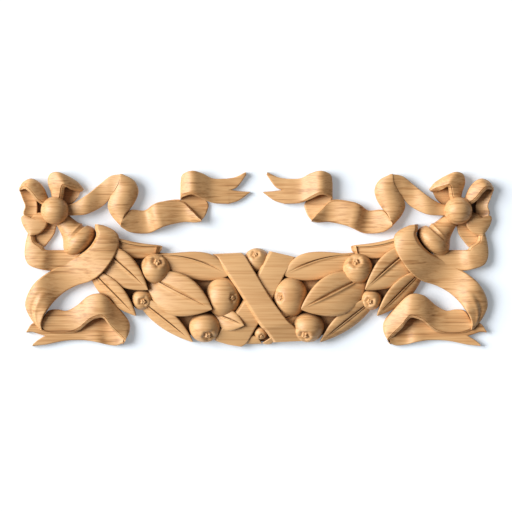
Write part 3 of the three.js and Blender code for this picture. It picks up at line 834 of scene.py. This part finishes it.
def grain(place, stretch, detail, rough, bend):
    """Noise drawn out along the board."""
    drawn_out = place.node("ShaderNodeVectorMath", {"operation": "MULTIPLY"}, {0: place, 1: stretch})
    inputs = {"Vector": drawn_out, "Scale": 1, "Detail": detail, "Roughness": rough, "Distortion": bend}
    return place.node("ShaderNodeTexNoise", {}, inputs)


def openness(start, reach, open_from, open_to, only_local=False):
    """How open each place is to the room, from 0 in a deep hollow to 1 where nothing is near, which sets
    how much shade is painted into a colour. It may count the piece's own surface alone."""
    settings = {"samples": SHADE_SAMPLES, "only_local": only_local}
    seen = start.node("ShaderNodeAmbientOcclusion", settings, {"Distance": reach}, "AO")
    inputs = {"Value": seen, "From Min": open_from, "From Max": open_to}
    return start.node("ShaderNodeMapRange", {}, inputs)


wood, shader = material("pale carved hardwood")
start = Value(shader.inputs["Roughness"])
place = start.node("ShaderNodeTexCoord", {}, {}, "Object")
fine = grain(place, FINE_LINES, detail=3, rough=0.6, bend=0.2)
streaks = grain(place, STREAK_LINES, detail=2, rough=0.5, bend=0.3)
clouds = grain(place, CLOUD_LINES, detail=2, rough=0.5, bend=0.2)
from_swag = place.node("ShaderNodeVectorMath", {"operation": "SUBTRACT"}, {0: place, 1: SWAG_AT})
from_swag = place.node("ShaderNodeVectorMath", {"operation": "DIVIDE"}, {0: from_swag, 1: SWAG_REACH})
away = place.node("ShaderNodeVectorMath", {"operation": "LENGTH"}, {0: from_swag}, "Value")
swag_edge = {"From Min": SWAG_EDGE[0], "From Max": SWAG_EDGE[1], "To Min": QUIET, "To Max": 1}
strong = place.node("ShaderNodeMapRange", {}, {"Value": away, **swag_edge})
tone = fine * FINE_SHARE + streaks * STREAK_SHARE + clouds * CLOUD_SHARE
tone = EVEN + (tone - EVEN) * strong
color = start.node("ShaderNodeValToRGB", {"stops": GRAIN_COLORS}, {"Fac": tone})
# Shade is painted into the wood's colour: it turns to a dark brown in the deep hollows, where little of the
# room is seen.
painted_shade_openness = openness(start, HOLLOW_REACH, *HOLLOW_OPEN, only_local=True)
color = start.node("ShaderNodeMix", {"data_type": "RGBA"}, {0: painted_shade_openness, 6: HOLLOW_PAINTED_SHADE, 7: color}, 2)
wood.node_tree.links.new(color.socket, shader.inputs["Base Color"])
roughness = SMOOTHEST + fine * ROUGH_SPREAD
wood.node_tree.links.new(roughness.socket, shader.inputs["Roughness"])
bump = start.node("ShaderNodeBump", {}, {**PORES, "Height": fine})
wood.node_tree.links.new(bump.socket, shader.inputs["Normal"])
ornament.data.materials.clear()
ornament.data.materials.append(wood)
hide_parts("festoon")
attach(ornament, "root")

# The white panel behind
# A plain white panel stands behind the ornament, as in a sales picture. Only its front face is
# kept, and from behind it is clear, so that the flat back of the ornament can be seen.
# The panel also glows a little, though it is no lamp, which lightens the shadows on it.
FACES_FRONT = -0.5  # a face whose normal points less far forward than this is taken off
WALL_LIGHT = (0.8, 0.85, 0.91, 1)
WALL_PAINTED_SHADE = (0.61, 0.655, 0.705, 1)  # painted shade close to the ornament, where little of the room is seen
GLOW_LIGHT = (0.84, 0.93, 1, 1)
GLOW_PAINTED_SHADE = (0.62, 0.69, 0.75, 1)
GLOW = 0.28
WALL_ROUGH = 0.9
WALL_SHINE = 0.1
WALL_REACH = 0.03  # metres, how far from the ornament the panel gets painted shade
WALL_OPEN = (0.2, 0.95)
deselect()
bpy.context.view_layer.objects.active = panel
panel.select_set(True)
bpy.ops.object.mode_set(mode="EDIT")
bpy.ops.mesh.select_mode(type="FACE")
bpy.ops.mesh.select_all(action="DESELECT")
bpy.ops.object.mode_set(mode="OBJECT")
for face in panel.data.polygons:
    face.select = face.normal.y > FACES_FRONT
bpy.ops.object.mode_set(mode="EDIT")
bpy.ops.mesh.delete(type="FACE")
bpy.ops.object.mode_set(mode="OBJECT")
white, shader = material("white panel")
shader.inputs["Roughness"].default_value = WALL_ROUGH
shader.inputs["Specular IOR Level"].default_value = WALL_SHINE
shader.inputs["Emission Strength"].default_value = GLOW
start = Value(shader.outputs[0])
# Painted shade: the panel's colour and glow turn darker close to the ornament.
painted_shade_openness = openness(start, WALL_REACH, *WALL_OPEN)
tones = {"Base Color": (WALL_PAINTED_SHADE, WALL_LIGHT), "Emission Color": (GLOW_PAINTED_SHADE, GLOW_LIGHT)}
for socket, (dark, light) in tones.items():
    color = start.node("ShaderNodeMix", {"data_type": "RGBA"}, {0: painted_shade_openness, 6: dark, 7: light}, 2)
    white.node_tree.links.new(color.socket, shader.inputs[socket])
behind = start.node("ShaderNodeNewGeometry", {}, {}, "Backfacing")
clear = start.node("ShaderNodeBsdfTransparent", {}, {})
mixed = start.node("ShaderNodeMixShader", {}, {0: behind, 1: start, 2: clear})
output = white.node_tree.nodes["Material Output"]
white.node_tree.links.new(mixed.socket, output.inputs["Surface"])
panel.data.materials.clear()
panel.data.materials.append(white)

# The light
# One broad soft lamp stands in front to the left, and the pale room fills in all round. A weak lamp
# behind lights the flat back, which is seen only when the ornament is turned over.
ROOM_COLOR = (0.97, 0.98, 1, 1)
ROOM_STRENGTH = 0.11
KEY_AT = (-1.65, -1.2, 0.35)  # metres
KEY_STRENGTH = 4.85
BACK_AT = (0, 1, 0)  # metres
BACK_STRENGTH = 1.5
LAMP_SPREAD = 40  # degrees, how broad each lamp looks from the ornament
world = bpy.data.worlds.new("room")
bpy.context.scene.world = world
world.use_nodes = True
world.node_tree.nodes["Background"].inputs["Color"].default_value = ROOM_COLOR
world.node_tree.nodes["Background"].inputs["Strength"].default_value = ROOM_STRENGTH
key_away = math.hypot(KEY_AT[0], KEY_AT[1])
key_turn = (math.atan2(key_away, KEY_AT[2]), 0, math.atan2(KEY_AT[0], -KEY_AT[1]))
back_turn = (-math.pi / 2, 0, 0)
for name, lamp_at, turn, strength in (
    ("key", KEY_AT, key_turn, KEY_STRENGTH),
    ("back_light", BACK_AT, back_turn, BACK_STRENGTH),
):
    bpy.ops.object.light_add(type="SUN", location=lamp_at, rotation=turn)
    lamp = bpy.context.object
    lamp.name = name
    lamp.data.energy = strength
    lamp.data.angle = math.radians(LAMP_SPREAD)

# The camera
# It looks straight at the ornament through a long lens, with the picture centre a little above
# the origin. Its sizes are in metres, but for the sensor's, which is in millimetres.
FIELD = 0.512  # how much the picture takes in, at the carved face
FACE_AT = 0.014  # how far that stands in front of the back
FAR = 3.2
CENTRE = (-0.0005, 0.004)  # the picture's, across and up
SENSOR = 36
bpy.ops.object.camera_add(location=(CENTRE[0], -FAR, CENTRE[1]), rotation=(math.pi / 2, 0, 0))
camera = bpy.context.object
camera.data.sensor_width = SENSOR
camera.data.lens = SENSOR * (FAR - FACE_AT) / FIELD
bpy.context.scene.camera = camera
bpy.context.scene.view_settings.view_transform = "Standard"
